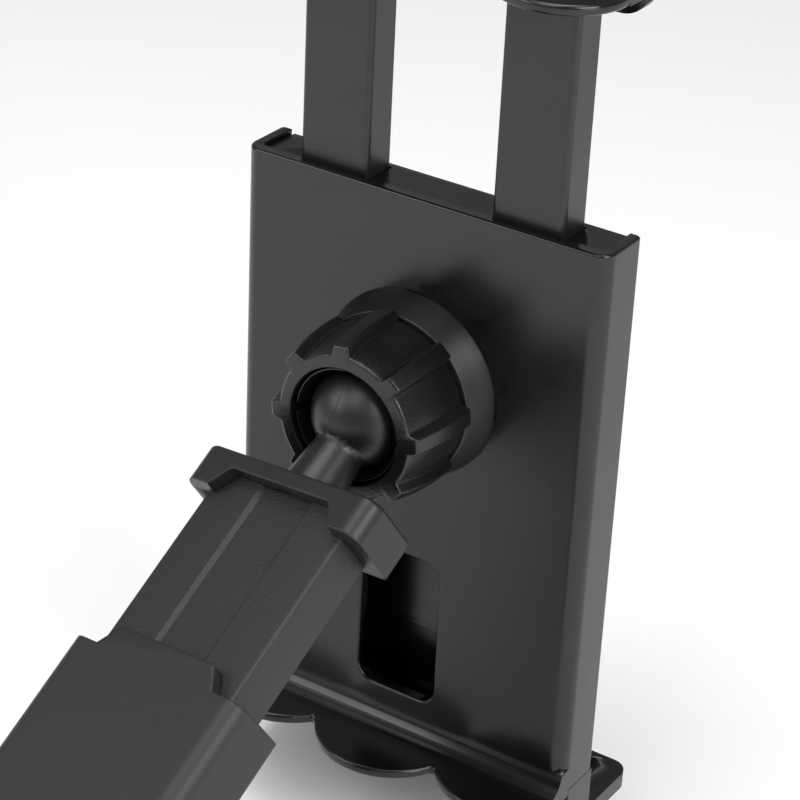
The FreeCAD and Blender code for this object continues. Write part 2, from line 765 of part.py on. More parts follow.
def friction_cup():
    """Thin lining cup on the ball's inner side, in the arm's frame."""
    inner = ball_radius + ball_clearance
    outer = inner + cup_thickness
    half_angle = math.radians(cup_half_angle)
    wedge = Part.makeCone(0, 30 * math.tan(half_angle), 30, Vector(0, 0, 0), Vector(0, 1, 0))
    cup = Part.makeSphere(outer).cut(Part.makeSphere(inner)).common(wedge)
    return posed(cup)


def arm_section(y0, y1):
    """Length of the arm's outer section, well rounded along its upper corners."""
    half = arm_width / 2
    return plate(-half, half, y0, y1, arm_bottom, arm_bottom + arm_thickness, arm_bottom_round, arm_top_round)


def bar_section(y0, y1, grow):
    """Length of the bar's plain section, larger by a clearance all round."""
    half = bar_width / 2 + grow
    high = bar_thickness / 2 + grow
    return plate(-half, half, y0, y1, -high, high, bar_corner)


def tongue_prism(root, tip, gap):
    """Trapezoid seen from above, between a root and a tip along the arm, narrower by a gap each side."""
    root_half = tongue_root_width / 2 - gap
    tip_half = tongue_top_width / 2 - gap
    low = root - 2.0 * math.copysign(1, tip - root)
    points = [Vector(-root_half, low, 0), Vector(root_half, low, 0), Vector(root_half, root, 0),
              Vector(tip_half, tip, 0), Vector(-tip_half, tip, 0), Vector(-root_half, root, 0)]
    solid = Part.Face(Part.makePolygon(points + points[:1])).extrude(Vector(0, 0, arm_thickness))

    def is_tip(edge):
        bounds = edge.BoundBox
        return bounds.ZLength > 1 and near(bounds.YMin, tip) and near(bounds.YMax, tip)
    return rounded(solid, tongue_corner, is_tip)


def inner_bar():
    """Sliding bar: flat section with a sunk band along each broad face, hollow from its far end."""
    bar = bar_section(-bar_end, -bar_start, 0)
    half = bar_band_width / 2
    high = bar_thickness / 2
    for z0, z1 in ((high - bar_band_depth, high + 1), (-high - 1, -high + bar_band_depth)):
        bar = bar.cut(box(-half, half, -bar_end - 1, -bar_start + 1, z0, z1))
    hollow_half = bar_hollow_width / 2
    hollow_high = bar_hollow_height / 2
    bar = bar.cut(box(-hollow_half, hollow_half, -bar_end - 1, -(bar_start + bar_solid_length),
                      -hollow_high, hollow_high))
    half = foot_width / 2 + foot_gap
    high = foot_height / 2 + foot_gap
    bar = bar.cut(plate(-half, half, -(bar_start + foot_thickness), -bar_start + 1, -high, high, 1.0))
    for place in cap_pin_places():
        bar = bar.cut(pin(place, cap_pin_length + screw_fit, screw_fit))
    return posed(bar)


def bar_shoe():
    """Guide shoe plugged into the bar's far end; it stops at the sleeve's collar."""
    high = bar_thickness / 2
    start = -(bar_end + shoe_length)
    head = plate(-shoe_half_width, shoe_half_width, start, -bar_end, -high, high, 1.0)
    spigot_half = bar_hollow_width / 2 - shell_gap
    spigot_high = bar_hollow_height / 2 - shell_gap / 2
    spigot = box(-spigot_half, spigot_half, -bar_end - 1, -bar_end + shoe_spigot, -spigot_high, spigot_high)
    return posed(head.fuse(spigot))


def outer_sleeve():
    """Outer tube of the arm, with a tongue at its mouth that nests in the end cap's recess."""
    sleeve = arm_section(-sleeve_end, -sleeve_mouth)
    tongue = arm_section(-sleeve_mouth - 1, -sleeve_mouth + tongue_length)
    tongue = tongue.common(tongue_prism(-sleeve_mouth, -sleeve_mouth + tongue_length, tongue_gap))
    sleeve = sleeve.fuse(tongue)
    collar_end = -(sleeve_mouth + collar_length)
    sleeve = sleeve.cut(bar_section(collar_end - 1, -sleeve_mouth + tongue_length + 1, sleeve_clearance))
    sleeve = sleeve.cut(plate(-wide_half_width, wide_half_width, -sleeve_end - 1, collar_end,
                              -bore_half_height, bore_half_height, bar_corner))
    for place in plug_pin_places():
        sleeve = sleeve.cut(pin(place, plug_pin_length, screw_fit))
    return posed(sleeve.removeSplitter())


def sleeve_plug():
    """Plug that closes the sleeve's far end and gives the arm its flat end face."""
    flange = arm_section(-(sleeve_end + plug_flange), -sleeve_end)
    half = wide_half_width - shell_gap
    high = bore_half_height - shell_gap
    stem = plate(-half, half, -sleeve_end - 0.5, -plug_inner, -high, high, bar_corner)
    plug = flange.fuse(stem)
    for place in plug_pin_places():
        plug = plug.cut(pin(place, plug_pin_length + screw_fit, screw_fit))
    return posed(plug.removeSplitter())


def plug_pin_places():
    """Lower ends of the plug's two pins, flush with the sleeve's underside."""
    y = -(sleeve_end - plug_depth / 2)
    return [Vector(side * plug_pin_x, y, arm_bottom) for side in (-1, 1)]


def plug_pins():
    """Two pins through the sleeve's underside into the plug."""
    return posed(several([pin(place, plug_pin_length) for place in plug_pin_places()]))


def arm_cap():
    """End cap of the bar, with a recess for the sleeve's tongue and a hole for the ball's neck."""
    cap = arm_section(-cap_end, -cap_start)
    cap = rounded(cap, cap_edge_round, lambda edge: flat_at_y(edge, -cap_start))
    cap = cap.cut(bar_section(-cap_end - 1, -(cap_start + cap_wall), cap_fit))
    cap = cap.cut(tongue_prism(-cap_end, -cap_end + tongue_length, 0))
    hole = neck_cap_radius + cap_fit
    cap = cap.cut(Part.makeCylinder(hole, 10, Vector(0, -cap_start - cap_wall - 5, 0), Vector(0, 1, 0)))
    for place in cap_pin_places():
        cap = cap.cut(pin(place, cap_pin_length / 2, screw_fit))
    return posed(cap)


def ball_stud():
    """Ball with its tapered neck and the flat foot held inside the end cap."""
    neck_start = math.sqrt(ball_radius ** 2 - neck_ball_radius ** 2)
    neck_length = cap_start + cap_wall - neck_start
    slope = (neck_cap_radius - neck_ball_radius) / (cap_start - neck_start)
    root = neck_ball_radius - slope * 2
    tip = min(neck_cap_radius, neck_ball_radius + slope * (cap_start - neck_start))
    neck = Part.makeCone(root, tip, cap_start - neck_start + 2, Vector(0, -neck_start + 2, 0),
                         Vector(0, -1, 0))
    stem_length = neck_length - (cap_start - neck_start)
    stem = Part.makeCylinder(tip, stem_length, Vector(0, -cap_start, 0), Vector(0, -1, 0))
    foot_y = -(cap_start + cap_wall)
    half = foot_width / 2
    high = foot_height / 2
    foot = plate(-half, half, foot_y - foot_thickness, foot_y, -high, high, 1.0)
    return posed(Part.makeSphere(ball_radius).fuse([neck, stem, foot]).removeSplitter())


def cap_pin_places():
    """Lower ends of the cap's two pins, flush with its underside."""
    y = -(bar_start + cap_end) / 2
    return [Vector(side * cap_pin_x, y, arm_bottom) for side in (-1, 1)]


def cap_pins():
    """Two pins through the cap's underside into the bar."""
    return posed(several([pin(place, cap_pin_length) for place in cap_pin_places()]))


def pieces():
    """Every node's name with its shape."""
    right_rail = rail()
    right_spring = spring()
    return {
        "outer_sleeve": outer_sleeve(),
        "sleeve_plug": sleeve_plug(),
        "plug_pins": plug_pins(),
        "inner_bar": inner_bar(),
        "bar_shoe": bar_shoe(),
        "arm_cap": arm_cap(),
        "cap_pins": cap_pins(),
        "ball_stud": ball_stud(),
        "friction_cup": friction_cup(),
        "lock_nut": lock_nut(),
        "ball_socket": ball_socket(),
        "socket_screws": socket_screws(),
        "back_shell": back_shell(),
        "front_shell": front_shell(),
        "case_screws": case_screws(),
        "seat_pad": seat_pad(),
        "lower_jaw": lower_jaw(),
        "lower_jaw_screws": lower_jaw_screws(),
        "lower_jaw_pad": jaw_pad(lower_floor, 1),
        "upper_jaw": upper_jaw(),
        "upper_jaw_screws": upper_jaw_screws(),
        "upper_jaw_pad": jaw_pad(upper_floor, -1),
        "rail_right": right_rail,
        "rail_left": mirrored(right_rail),
        "rail_bridge": rail_bridge(),
        "bridge_screws": bridge_screws(),
        "spring_right": right_spring,
        "spring_left": mirrored(right_spring),
    }


os.makedirs("parts", exist_ok=True)
for name, shape in pieces().items():
    shape.exportStep("parts/" + name + ".step")
    print(name, len(shape.Solids), round(shape.Volume, 1), shape.isValid())
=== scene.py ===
import json
from math import radians

import bmesh
import bpy
import numpy as np
from bpy.props import FloatProperty, FloatVectorProperty, PointerProperty
from mathutils import Euler, Matrix, Vector

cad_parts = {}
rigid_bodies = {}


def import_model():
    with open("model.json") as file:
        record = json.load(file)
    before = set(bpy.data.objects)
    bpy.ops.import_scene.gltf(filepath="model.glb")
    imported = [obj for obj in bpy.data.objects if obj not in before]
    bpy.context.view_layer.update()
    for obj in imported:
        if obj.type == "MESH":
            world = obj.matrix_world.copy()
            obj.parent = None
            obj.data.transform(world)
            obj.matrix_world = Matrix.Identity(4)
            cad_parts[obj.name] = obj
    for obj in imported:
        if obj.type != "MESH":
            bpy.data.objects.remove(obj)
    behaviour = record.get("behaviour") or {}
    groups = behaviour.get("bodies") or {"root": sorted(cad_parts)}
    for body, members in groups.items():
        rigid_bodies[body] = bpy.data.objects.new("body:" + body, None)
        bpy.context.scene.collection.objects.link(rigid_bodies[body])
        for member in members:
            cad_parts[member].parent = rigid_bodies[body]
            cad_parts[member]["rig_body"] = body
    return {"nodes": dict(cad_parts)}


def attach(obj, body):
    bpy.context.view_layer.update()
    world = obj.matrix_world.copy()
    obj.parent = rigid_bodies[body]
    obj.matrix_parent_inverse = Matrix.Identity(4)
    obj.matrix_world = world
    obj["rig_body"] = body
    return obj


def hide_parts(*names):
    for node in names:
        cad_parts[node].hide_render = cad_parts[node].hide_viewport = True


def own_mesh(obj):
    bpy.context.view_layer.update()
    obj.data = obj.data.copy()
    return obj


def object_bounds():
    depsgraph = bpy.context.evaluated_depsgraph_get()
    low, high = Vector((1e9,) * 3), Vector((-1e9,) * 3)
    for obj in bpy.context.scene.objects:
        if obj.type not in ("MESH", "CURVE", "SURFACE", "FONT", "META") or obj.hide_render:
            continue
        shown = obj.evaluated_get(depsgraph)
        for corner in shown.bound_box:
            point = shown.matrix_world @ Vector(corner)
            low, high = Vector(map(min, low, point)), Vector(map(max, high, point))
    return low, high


bl_info = {
    "name": "Clamp Holder Finish",
    "version": (1, 0, 0),
    "blender": (4, 5, 0),
    "location": "3D View > Sidebar > Holder",
    "description": "Finishes, fine moulded detail and studio for a spring clamp holder on a jointed arm",
    "category": "Object",
}

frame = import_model()
cad_box = [list(corner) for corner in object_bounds()]

MM = 0.001

# Soft lamps: name, place in metres, side of the square in metres, power in watts
LAMPS = (
    ("front", (-0.03, -0.65, 0.75), 0.50, 1.8),
    ("left", (-0.45, -0.52, 0.35), 0.40, 1.6),
    ("overhead", (-0.05, 0.00, 1.10), 0.70, 6.5),
    ("right", (0.70, -0.25, 0.50), 0.45, 4.0),
    ("right_low", (0.80, -0.25, 0.05), 0.35, 1.0),
)
# Strength of the plain world, and half the floor's side in metres
WORLD_STRENGTH = 0.28
FLOOR_HALF = 4.0

# Camera: place in metres, turn about X, Y and Z in degrees, lens and sensor in millimetres, clip in metres
CAMERA_PLACE = (0.198283, -0.328713, 0.200263)
CAMERA_TURN = (61.3838, -2.4916, 33.6326)
LENS = 121.108
SENSOR = 36.0
FAR_CLIP = 20.0

# The arm's own frame has the ball's centre at its origin, the arm along -Y and the broad faces across Z. The
# ball's centre in the part's frame is in millimetres, and the arm's turns about Z, X and Y are in degrees
BALL_CENTRE = (0.0, -24.4, 0.0)
ARM_PAN = -3.65
ARM_TILT = 33.0
ARM_ROLL = -9.1

# Locking nut, in millimetres and degrees: heights off the back plate, radii at its back and front, the first
# rib's middle, half the angle of a rib's tip and root, and the bore's profile as radius and height
PLATE_Y = -12.0
NUT_BACK = 5.5
NUT_FRONT = 18.7
RIB_RADII = (14.9, 13.5)
VALLEY_RADII = (13.3, 11.9)
RIB_COUNT = 8
RIB_FIRST = 4.5
RIB_TIP = 4.6
RIB_ROOT = 8.8
BORE = ((9.9, 18.7), (9.75, 18.55), (9.75, 16.8), (9.83, 16.8), (11.1, 12.5))
WALL_ROWS = 24
NUT_COLUMNS = 768

# Sliding bar in the arm's frame, in millimetres: halves of its width and thickness, then of its two hollows
BAR_HALF = (14.1, 4.1)
BAR_CORNER = 0.5
BAND_HALF_WIDTH = 5.4
FOOT_HALF = (9.1, 2.4)
HOLLOW_HALF = (11.0, 1.4)
# Places along the bar: the seat's floor and rim, both ends of the outside, the hollow's rim and floor
BAR_STATIONS = (-19.65, -17.65, -17.65, -96.0, -96.0, -29.65)

# Points along a rolled edge's quarter circle
ROLL_ROWS = 7

# Ball and neck in the arm's frame, in millimetres, then the parting line's turn about the arm and its start
# on the ball, in degrees
BALL_RADIUS = 8.5
NECK_RADII = (4.1, 4.9)
NECK_ENDS = (7.45, 17.0)
SEAM_TURN = 8.5
SEAM_START = -60.0
BALL_ROWS = 60
NECK_ROWS = 11
SEAM_SECTORS = 12

# Refraction of the two plastics, and rays that round an edge in the shader
ABS_IOR = 1.53
SILICONE_IOR = 1.41
EDGE_SAMPLES = 6

# Copies of CAD nodes: points nearer than this are one, and broad faces lead the shading
WELD_GAP = 0.0005 * MM
BROAD_FACES_LEAD = 100

# Degrees between two faces past which their edge stays sharp, on flat-walled pieces and on round ones
FLAT_SHARP = 28.0
ROUND_SHARP = 40.0


def linear(code):
    """Linear colour with alpha from an sRGB hex code: below 0.04045 over 12.92, above it the 2.4 power."""
    values = np.array([int(code[i:i + 2], 16) for i in (0, 2, 4)]) / 255
    values = np.where(values <= 0.04045, values / 12.92, ((values + 0.055) / 1.055) ** 2.4)
    return (*values.tolist(), 1.0)


# Materials

def add(tree, kind, sockets=None, **settings):
    """One shader node: its settings, and its sockets' values or the outputs linked to them."""
    node = tree.nodes.new(kind)
    for key, value in settings.items():
        setattr(node, key, value)
    for key, value in (sockets or {}).items():
        if isinstance(value, bpy.types.NodeSocket):
            tree.links.new(value, node.inputs[key])
        else:
            node.inputs[key].default_value = value
    return node


def new_material(name):
    """Empty node material with its output node."""
    material = bpy.data.materials.new(name)
    material.use_nodes = True
    material.node_tree.nodes.clear()
    output = add(material.node_tree, "ShaderNodeOutputMaterial")
    return material, material.node_tree, output


def moulded_abs_satin(name, colour, gloss, edge=0.15 * MM):
    """ABS from a polished tool: near-black, a satin skin whose sheen drifts a little, faint orange peel.

    The sheen drifts over 22.2 mm. The peel is 0.714 mm across and 0.03 mm deep at a strength of 0.06.
    """
    material, tree, output = new_material(name)
    place = add(tree, "ShaderNodeTexCoord").outputs["Object"]
    drift = add(tree, "ShaderNodeTexNoise", {"Vector": place, "Scale": 1 / (22.2 * MM),
                                             "Detail": 2.0}).outputs["Fac"]
    peel = add(tree, "ShaderNodeTexNoise", {"Vector": place, "Scale": 1 / (0.714 * MM),
                                            "Detail": 3.0}).outputs["Fac"]
    rough = add(tree, "ShaderNodeMapRange", {"Value": drift, "From Min": 0.3, "From Max": 0.7,
                                             "To Min": gloss - 0.04, "To Max": gloss + 0.05}).outputs[0]
    rounded = add(tree, "ShaderNodeBevel", {"Radius": edge}, samples=EDGE_SAMPLES).outputs[0]
    bump = add(tree, "ShaderNodeBump", {"Height": peel, "Strength": 0.06, "Distance": 0.03 * MM,
                                        "Normal": rounded}).outputs[0]
    shader = add(tree, "ShaderNodeBsdfPrincipled", {"Base Color": colour, "Roughness": rough, "Normal": bump,
                                                    "IOR": ABS_IOR})
    tree.links.new(shader.outputs[0], output.inputs["Surface"])
    return material


def sparked_abs(name, colour, gloss, grain, depth, edge=0.15 * MM):
    """Plastic from a spark-eroded tool: an even fine pebble that breaks highlights into a soft grey sheen.

    The pebbles lie a grain apart. Noise 1.7 times as wide lies over them and lifts the colour by up to half.
    """
    material, tree, output = new_material(name)
    place = add(tree, "ShaderNodeTexCoord").outputs["Object"]
    pebble = add(tree, "ShaderNodeTexVoronoi", {"Vector": place, "Scale": 1 / grain},
                 feature="SMOOTH_F1").outputs["Distance"]
    dust = add(tree, "ShaderNodeTexNoise", {"Vector": place, "Scale": 0.6 / grain,
                                            "Detail": 4.0}).outputs["Fac"]
    both = add(tree, "ShaderNodeMath", {0: pebble, 1: dust}, operation="ADD").outputs[0]
    worn = tuple(c * 1.5 for c in colour[:3]) + (1.0,)
    tint = add(tree, "ShaderNodeMix", {"Factor": dust, "A": colour, "B": worn}, data_type="RGBA")
    rounded = add(tree, "ShaderNodeBevel", {"Radius": edge}, samples=EDGE_SAMPLES).outputs[0]
    bump = add(tree, "ShaderNodeBump", {"Height": both, "Strength": 1.0, "Distance": depth,
                                        "Normal": rounded}).outputs[0]
    shader = add(tree, "ShaderNodeBsdfPrincipled", {"Base Color": tint.outputs["Result"], "Roughness": gloss,
                                                    "Normal": bump, "IOR": ABS_IOR})
    tree.links.new(shader.outputs[0], output.inputs["Surface"])
    return material


def soft_rubber(name, colour):
    """Moulded silicone rubber: dull, dusty in specks of 1.11 mm, with a soft sheen at grazing angles."""
    material, tree, output = new_material(name)
    place = add(tree, "ShaderNodeTexCoord").outputs["Object"]
    dust = add(tree, "ShaderNodeTexNoise", {"Vector": place, "Scale": 1 / (1.11 * MM),
                                            "Detail": 5.0}).outputs["Fac"]
    rough = add(tree, "ShaderNodeMapRange", {"Value": dust, "To Min": 0.62, "To Max": 0.85}).outputs[0]
    bump = add(tree, "ShaderNodeBump", {"Height": dust, "Strength": 0.3, "Distance": 0.04 * MM}).outputs[0]
    shader = add(tree, "ShaderNodeBsdfPrincipled", {"Base Color": colour, "Roughness": rough, "Normal": bump,
                                                    "Sheen Weight": 0.15, "IOR": SILICONE_IOR})
    tree.links.new(shader.outputs[0], output.inputs["Surface"])
    return material


def drawn_steel(name, colour, gloss):
    """Drawn steel wire or screw: bright metal whose 0.4 mm drawing marks spread the highlight."""
    material, tree, output = new_material(name)
    place = add(tree, "ShaderNodeTexCoord").outputs["Object"]
    marks = add(tree, "ShaderNodeTexNoise", {"Vector": place, "Scale": 1 / (0.4 * MM),
                                             "Detail": 4.0}).outputs["Fac"]
    rough = add(tree, "ShaderNodeMapRange", {"Value": marks, "To Min": gloss - 0.08,
                                             "To Max": gloss + 0.12}).outputs[0]
    bump = add(tree, "ShaderNodeBump", {"Height": marks, "Strength": 0.15, "Distance": 0.01 * MM}).outputs[0]
    shader = add(tree, "ShaderNodeBsdfPrincipled", {"Base Color": colour, "Roughness": rough, "Normal": bump,
                                                    "Metallic": 1.0})
    tree.links.new(shader.outputs[0], output.inputs["Surface"])
    return material


# Pieces

def give(node, material):
    """A carried-over CAD node takes a finish in every slot."""
    mesh = frame["nodes"][node].data
    mesh.materials.clear()
    mesh.materials.append(material)


def linked(name, mesh, angle):
    """New object in the scene from a mesh, smooth where faces meet at less than the angle in degrees."""
    mesh.shade_smooth()
    mesh.set_sharp_from_angle(angle=radians(angle))
    piece = bpy.data.objects.new(name, mesh)
    bpy.context.scene.collection.objects.link(piece)
    return piece


def welded(node):
    """Smoothed copy of a CAD node with its loose triangles merged, named as the node's skin."""
    name = node + "_skin"
    mesh = frame["nodes"][node].data.copy()
    mesh.name = name
    work = bmesh.new()
    work.from_mesh(mesh)
    bmesh.ops.remove_doubles(work, verts=work.verts, dist=WELD_GAP)
    work.to_mesh(mesh)
    work.free()
    piece = linked(name, mesh, FLAT_SHARP)
    normals = piece.modifiers.new("even_normals", "WEIGHTED_NORMAL")
    normals.keep_sharp = True
    normals.weight = BROAD_FACES_LEAD
    return piece


def meshed(name, points, faces, angle):
    """New piece from an array of points in millimetres and its faces."""
    mesh = bpy.data.meshes.new(name)
    mesh.from_pydata((points * MM).tolist(), [], faces)
    return linked(name, mesh, angle)


def on_arm(points):
    """Points of the arm's own frame, in millimetres, rolled, tilted and panned into the part's frame."""
    turn = (Matrix.Rotation(radians(ARM_PAN), 3, "Z") @ Matrix.Rotation(radians(ARM_TILT), 3, "X")
            @ Matrix.Rotation(radians(ARM_ROLL), 3, "Y"))
    return points @ np.array(turn).T + BALL_CENTRE


def grid_faces(rows, columns, closed_rows):
    """Quads of a grid whose columns close on themselves, and whose rows close too if asked."""
    i, j = np.meshgrid(np.arange(rows if closed_rows else rows - 1), np.arange(columns), indexing="ij")
    down, across = (i + 1) % rows, (j + 1) % columns
    corners = (i * columns + j, i * columns + across, down * columns + across, down * columns + j)
    return np.stack(corners, axis=-1).reshape(-1, 4).tolist()


def capped_faces(rows, columns):
    """Faces of a tube of rings, with a cap over its first ring and one over its last."""
    faces = grid_faces(rows, columns, False)
    faces.append(list(range(columns - 1, -1, -1)))
    faces.append(list(range((rows - 1) * columns, rows * columns)))
    return faces


def nut_surface(crown, edge):
    """Ribbed nut as a closed ring, radius r over the angle a and the share t of the way from back to front.

    With C = 4 crown t (1 - t), the valley is V = 13.3 - 1.4 t + C and the rib R = 14.9 - 1.4 t + C.
    r = V + (R - V) S(u), S = u^2 (3 - 2u), where u falls from 1 at 4.6 degrees off a rib's middle to 0 at
    8.8 degrees. Both ends roll in along a quarter circle of the edge's radius: r - edge (1 - sin b) at a
    height edge (1 - cos b) in from the end, b from 0 to 90 degrees. The bore's profile closes the ring.
    """
    angle = np.linspace(0, 2 * np.pi, NUT_COLUMNS, endpoint=False)
    step = 360 / RIB_COUNT
    off = np.abs((np.degrees(angle) - RIB_FIRST + step / 2) % step - step / 2)
    u = np.clip((RIB_ROOT - off) / (RIB_ROOT - RIB_TIP), 0, 1)
    rib = u * u * (3 - 2 * u)
    roll = np.radians(np.linspace(0, 90, ROLL_ROWS))
    inset = edge * (1 - np.sin(roll))
    rise = edge * (1 - np.cos(roll))
    wall = np.linspace(NUT_BACK + edge, NUT_FRONT - edge, WALL_ROWS + 2)[1:-1]
    height = np.concatenate((NUT_BACK + rise, wall, NUT_FRONT - rise[::-1]))
    drawn_in = np.concatenate((inset, np.zeros(WALL_ROWS), inset[::-1]))
    share = (height - NUT_BACK) / (NUT_FRONT - NUT_BACK)
    swell = 4 * crown * share * (1 - share)
    valley = VALLEY_RADII[0] + (VALLEY_RADII[1] - VALLEY_RADII[0]) * share + swell
    ridge = RIB_RADII[0] + (RIB_RADII[1] - RIB_RADII[0]) * share + swell
    outer = (valley - drawn_in)[:, None] + (ridge - valley)[:, None] * rib
    bore = np.array(BORE + ((BORE[-1][0], NUT_BACK),))
    radius = np.concatenate((outer, np.repeat(bore[:, :1], NUT_COLUMNS, axis=1)))
    level = np.repeat(np.concatenate((height, bore[:, 1]))[:, None], NUT_COLUMNS, axis=1)
    points = np.stack((radius * np.cos(angle), PLATE_Y - level, radius * np.sin(angle)), axis=-1)
    return points.reshape(-1, 3), grid_faces(len(radius), NUT_COLUMNS, True)


def bar_surface(depth):
    """Sliding bar as one closed skin: a section swept along Y through the stations, a hollow at each end.

    The section is a rectangle 28.2 by 8.2 with corners of radius 0.5, (x, z) = centre + 0.5 (cos k, sin k).
    Each broad face has a band 10.8 wide whose walls slope at 45 degrees, z = 4.1 - min(depth, 5.4 - |x|).
    The hollows are the same section drawn in along x and z.
    """
    wide, high = BAR_HALF
    turn = np.radians(np.linspace(0, 90, ROLL_ROWS))
    corner = np.stack((wide - BAR_CORNER + BAR_CORNER * np.cos(turn),
                       high - BAR_CORNER + BAR_CORNER * np.sin(turn)), axis=-1)
    band_x = np.array((BAND_HALF_WIDTH, BAND_HALF_WIDTH - depth))
    band = np.stack((band_x, high - np.minimum(depth, BAND_HALF_WIDTH - band_x)), axis=-1)
    quarter = np.concatenate((corner, band))
    section = np.concatenate((quarter, quarter[::-1] * (-1, 1), quarter * (-1, -1), quarter[::-1] * (1, -1)))
    halves = np.array((FOOT_HALF, FOOT_HALF, BAR_HALF, BAR_HALF, HOLLOW_HALF, HOLLOW_HALF))
    across = section * (halves / BAR_HALF)[:, None]
    rows, columns = across.shape[:2]
    along = np.repeat(np.array(BAR_STATIONS)[:, None], columns, axis=1)
    points = np.stack((across[..., 0], along, across[..., 1]), axis=-1)
    return points.reshape(-1, 3), capped_faces(rows, columns)


def seam_surface(side, width, height):
    """Parting-line bead on the ball and neck, closed: an ellipse, half the width times cos k across the line
    and the height times sin k out of the surface.

    Its line runs in a plane through the arm's axis: 8.5 (cos p, sin p) over the ball for p from -60 degrees
    to the neck, then straight down the neck's taper, in the axes side and -Y of that plane.
    """
    turn = np.radians(SEAM_TURN)
    out = side * np.array((np.sin(turn), 0.0, np.cos(turn)))
    along = np.array((0.0, -1.0, 0.0))
    across = np.cross(out, along)
    p = np.linspace(np.radians(SEAM_START), np.arcsin(NECK_ENDS[0] / BALL_RADIUS), BALL_ROWS)
    facing_ball = np.stack((np.cos(p), np.sin(p)), axis=-1)
    start, end = np.array((NECK_RADII[0], NECK_ENDS[0])), np.array((NECK_RADII[1], NECK_ENDS[1]))
    on_neck = start + (end - start) * np.linspace(0, 1, NECK_ROWS + 1)[1:, None]
    facing_neck = np.repeat(((1.0, 0.0),), NECK_ROWS, axis=0)
    line = np.concatenate((BALL_RADIUS * facing_ball, on_neck))
    facing = np.concatenate((facing_ball, facing_neck))
    ring = np.linspace(0, 2 * np.pi, SEAM_SECTORS, endpoint=False)
    centre = line[:, :1] * out + line[:, 1:] * along
    normal = facing[:, :1] * out + facing[:, 1:] * along
    points = (centre[:, None] + width / 2 * np.cos(ring)[:, None] * across
              + height * np.sin(ring)[:, None] * normal[:, None])
    return points.reshape(-1, 3), capped_faces(len(line), SEAM_SECTORS)


def settle(piece, node, material):
    """A finished piece stands for a CAD node: it rides on the node's body and takes its finish, and the node
    is hidden.
    """
    body = frame["nodes"][node]["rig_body"]
    piece.data.materials.clear()
    piece.data.materials.append(material)
    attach(piece, body)
    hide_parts(node)
    return piece


class HolderColours(bpy.types.PropertyGroup):
    """Colours of the holder and of the studio's floor."""
    casing: FloatVectorProperty(name="Casing", description="Colour of the casing, jaws and socket", size=4,
                                subtype="COLOR", min=0, max=1, default=linear("0c0c0d"))
    arm: FloatVectorProperty(name="Arm", description="Colour of the rails, bar, end cap and sleeve", size=4,
                             subtype="COLOR", min=0, max=1, default=linear("1b1b1c"))
    nut: FloatVectorProperty(name="Nut", description="Colour of the locking nut", size=4,
                             subtype="COLOR", min=0, max=1, default=linear("0c0c0d"))
    ball: FloatVectorProperty(name="Ball", description="Colour of the ball and its neck", size=4,
                              subtype="COLOR", min=0, max=1, default=linear("101011"))
    rubber: FloatVectorProperty(name="Rubber", description="Colour of the pads and the friction cup", size=4,
                                subtype="COLOR", min=0, max=1, default=linear("151515"))
    steel: FloatVectorProperty(name="Steel", description="Colour of the screws and pins", size=4,
                               subtype="COLOR", min=0, max=1, default=linear("6a6a6c"))
    wire: FloatVectorProperty(name="Wire", description="Colour of the springs", size=4,
                              subtype="COLOR", min=0, max=1, default=linear("b8b8ba"))
    floor: FloatVectorProperty(name="Floor", description="Colour of the studio floor", size=4,
                               subtype="COLOR", min=0, max=1, default=linear("fcfcfc"))


class HolderSizes(bpy.types.PropertyGroup):
    """Sizes of the fine moulded detail."""
    grain: FloatProperty(name="Sleeve grain", description="Pebble spacing of the sleeve",
                         default=0.22 * MM, min=0.05 * MM, max=2.0 * MM, unit="LENGTH")
    bar_grain: FloatProperty(name="Bar grain", description="Pebble spacing of the bar",
                             default=0.32 * MM, min=0.05 * MM, max=2.0 * MM, unit="LENGTH")
    band_depth: FloatProperty(name="Band depth", description="Depth of the band along the bar",
                              default=0.65 * MM, min=0.1 * MM, max=1.15 * MM, unit="LENGTH")
    nut_crown: FloatProperty(name="Nut crown", description="Swell of the nut's outside at half height",
                             default=0.55 * MM, min=0.0, max=2.0 * MM, unit="LENGTH")
    nut_edge: FloatProperty(name="Nut edge", description="Radius of the nut's rolled ends",
                            default=0.4 * MM, min=0.05 * MM, max=1.0 * MM, unit="LENGTH")
    seam_width: FloatProperty(name="Seam width", description="Width of the ball's parting line",
                              default=0.16 * MM, min=0.02 * MM, max=1.0 * MM, unit="LENGTH")
    seam_height: FloatProperty(name="Seam height", description="Height of the ball's parting line",
                               default=0.05 * MM, min=0.01 * MM, max=0.5 * MM, unit="LENGTH")
    floor_drop: FloatProperty(name="Floor drop", description="Floor's distance below the part",
                              default=2.0 * MM, min=0.0, max=1.0, unit="LENGTH")


class HOLDER_OT_casing(bpy.types.Operator):
    """Finishes the body's two shells and the jaws in moulded plastic."""
    bl_idname = "holder.casing"
    bl_label = "Casing and jaws"

    def execute(self, context):
        colours = context.scene.holder_colours
        satin = moulded_abs_satin("casing_satin_abs", colours.casing, gloss=0.24)
        glossy = moulded_abs_satin("jaw_glossy_abs", colours.casing, gloss=0.2)
        for node in ("back_shell", "front_shell"):
            settle(welded(node), node, satin)
        for node in ("lower_jaw", "upper_jaw"):
            settle(welded(node), node, glossy)
        return {"FINISHED"}


class HOLDER_OT_rails(bpy.types.Operator):
    """Finishes the two rails and their crossbar."""
    bl_idname = "holder.rails"
    bl_label = "Rails"

    def execute(self, context):
        satin = moulded_abs_satin("rail_satin_abs", context.scene.holder_colours.arm, gloss=0.36)
        for node in ("rail_right", "rail_left", "rail_bridge"):
            settle(welded(node), node, satin)
        return {"FINISHED"}


